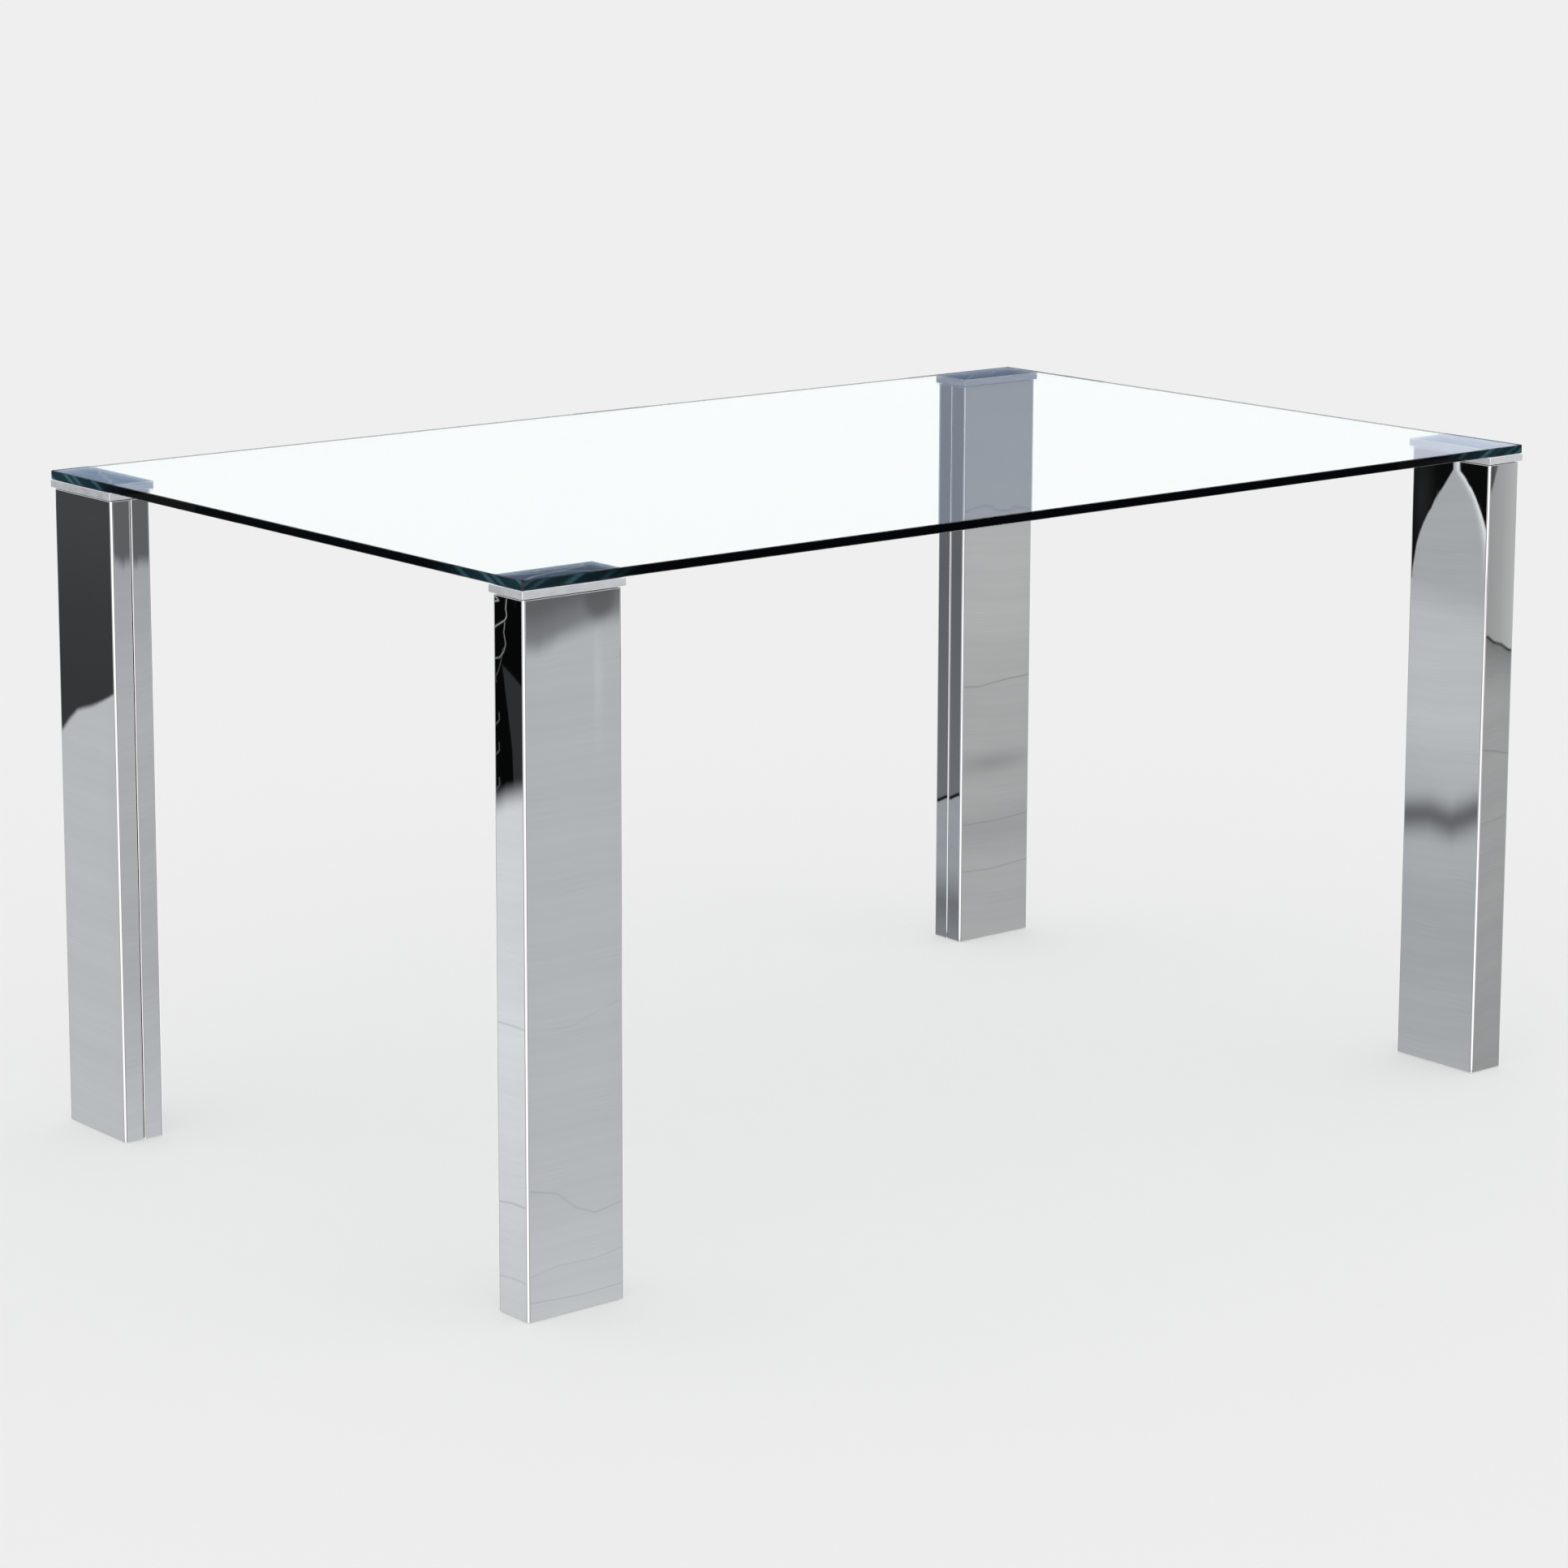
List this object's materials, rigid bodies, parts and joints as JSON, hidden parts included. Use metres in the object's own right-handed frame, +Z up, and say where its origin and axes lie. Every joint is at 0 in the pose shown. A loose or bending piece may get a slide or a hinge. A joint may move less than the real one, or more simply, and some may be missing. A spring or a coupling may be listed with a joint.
{
  "type": "dining table",
  "caption": "Fixed dining table: one clear glass sheet bonded to metal plates on broad rectangular mirror-polished legs, with hidden levelling glides.",
  "frame": {"origin": "on the floor under the middle of the glass, soles at z = 0 with the glides screwed right in", "axes": "+X along the long side, +Y across the table, +Z up; fl, fr, br and bl are the corners at -X-Y, +X-Y, +X+Y and -X+Y"},
  "size_m": [1.44, 0.89, 0.75],
  "materials": {
    "table_glass": "clear toughened glass, polished edges",
    "polished_steel": "mirror polished",
    "zinc_steel": "bright zinc plated",
    "core_board": "sanded fibreboard",
    "black_rubber": "matt",
    "black_plastic": "moulded, fine texture",
    "grey_felt": "dense felt",
    "clear_adhesive": "cured clear adhesive, dark against the plate"
  },
  "bodies": {
    "table": {"glass_top": "table_glass", "leg_shell_fl": "polished_steel", "leg_core_fl": "core_board", "head_plate_fl": "zinc_steel", "leg_gasket_fl": "black_rubber", "top_plate_fl": "polished_steel", "bond_pad_fl": "clear_adhesive", "foot_block_fl": "black_plastic", "foot_bush_fl": "zinc_steel", "leg_shell_fr": "polished_steel", "leg_core_fr": "core_board", "head_plate_fr": "zinc_steel", "leg_gasket_fr": "black_rubber", "top_plate_fr": "polished_steel", "bond_pad_fr": "clear_adhesive", "foot_block_fr": "black_plastic", "foot_bush_fr": "zinc_steel", "leg_shell_br": "polished_steel", "leg_core_br": "core_board", "head_plate_br": "zinc_steel", "leg_gasket_br": "black_rubber", "top_plate_br": "polished_steel", "bond_pad_br": "clear_adhesive", "foot_block_br": "black_plastic", "foot_bush_br": "zinc_steel", "leg_shell_bl": "polished_steel", "leg_core_bl": "core_board", "head_plate_bl": "zinc_steel", "leg_gasket_bl": "black_rubber", "top_plate_bl": "polished_steel", "bond_pad_bl": "clear_adhesive", "foot_block_bl": "black_plastic", "foot_bush_bl": "zinc_steel", "tie_rods": "zinc_steel", "rod_nuts": "zinc_steel", "rod_washers": "zinc_steel", "locating_pins": "zinc_steel", "foot_screws": "zinc_steel"},
    "glide_fl": {"glide_pad_fl": "black_plastic", "glide_sole_fl": "grey_felt"},
    "stem_fl": {"glide_stem_fl": "zinc_steel"},
    "glide_fr": {"glide_pad_fr": "black_plastic", "glide_sole_fr": "grey_felt"},
    "stem_fr": {"glide_stem_fr": "zinc_steel"},
    "glide_br": {"glide_pad_br": "black_plastic", "glide_sole_br": "grey_felt"},
    "stem_br": {"glide_stem_br": "zinc_steel"},
    "glide_bl": {"glide_pad_bl": "black_plastic", "glide_sole_bl": "grey_felt"},
    "stem_bl": {"glide_stem_bl": "zinc_steel"}
  },
  "joints": [
    {"name": "glide_height_fl", "type": "slide", "parent": "table", "child": "glide_fl", "axis": [0, 0, -1], "range_m": [0, 0.0101]},
    {"name": "glide_screw_fl", "type": "hinge", "parent": "glide_fl", "child": "stem_fl", "pos_m": [-0.657, -0.417, 0.0076], "axis": [0, 0, -1], "range_deg": [0, 2880]},
    {"name": "glide_height_fr", "type": "slide", "parent": "table", "child": "glide_fr", "axis": [0, 0, -1], "range_m": [0, 0.0101]},
    {"name": "glide_screw_fr", "type": "hinge", "parent": "glide_fr", "child": "stem_fr", "pos_m": [0.692, -0.382, 0.0076], "axis": [0, 0, -1], "range_deg": [0, 2880]},
    {"name": "glide_height_br", "type": "slide", "parent": "table", "child": "glide_br", "axis": [0, 0, -1], "range_m": [0, 0.0101]},
    {"name": "glide_screw_br", "type": "hinge", "parent": "glide_br", "child": "stem_br", "pos_m": [0.657, 0.417, 0.0076], "axis": [0, 0, -1], "range_deg": [0, 2880]},
    {"name": "glide_height_bl", "type": "slide", "parent": "table", "child": "glide_bl", "axis": [0, 0, -1], "range_m": [0, 0.0101]},
    {"name": "glide_screw_bl", "type": "hinge", "parent": "glide_bl", "child": "stem_bl", "pos_m": [-0.692, 0.382, 0.0076], "axis": [0, 0, -1], "range_deg": [0, 2880]}
  ],
  "couplings": [
    {"joint": "glide_height_fl", "follows": "glide_screw_fl", "m_per_rad": 0.00019894},
    {"joint": "glide_height_fr", "follows": "glide_screw_fr", "m_per_rad": 0.00019894},
    {"joint": "glide_height_br", "follows": "glide_screw_br", "m_per_rad": 0.00019894},
    {"joint": "glide_height_bl", "follows": "glide_screw_bl", "m_per_rad": 0.00019894}
  ]
}
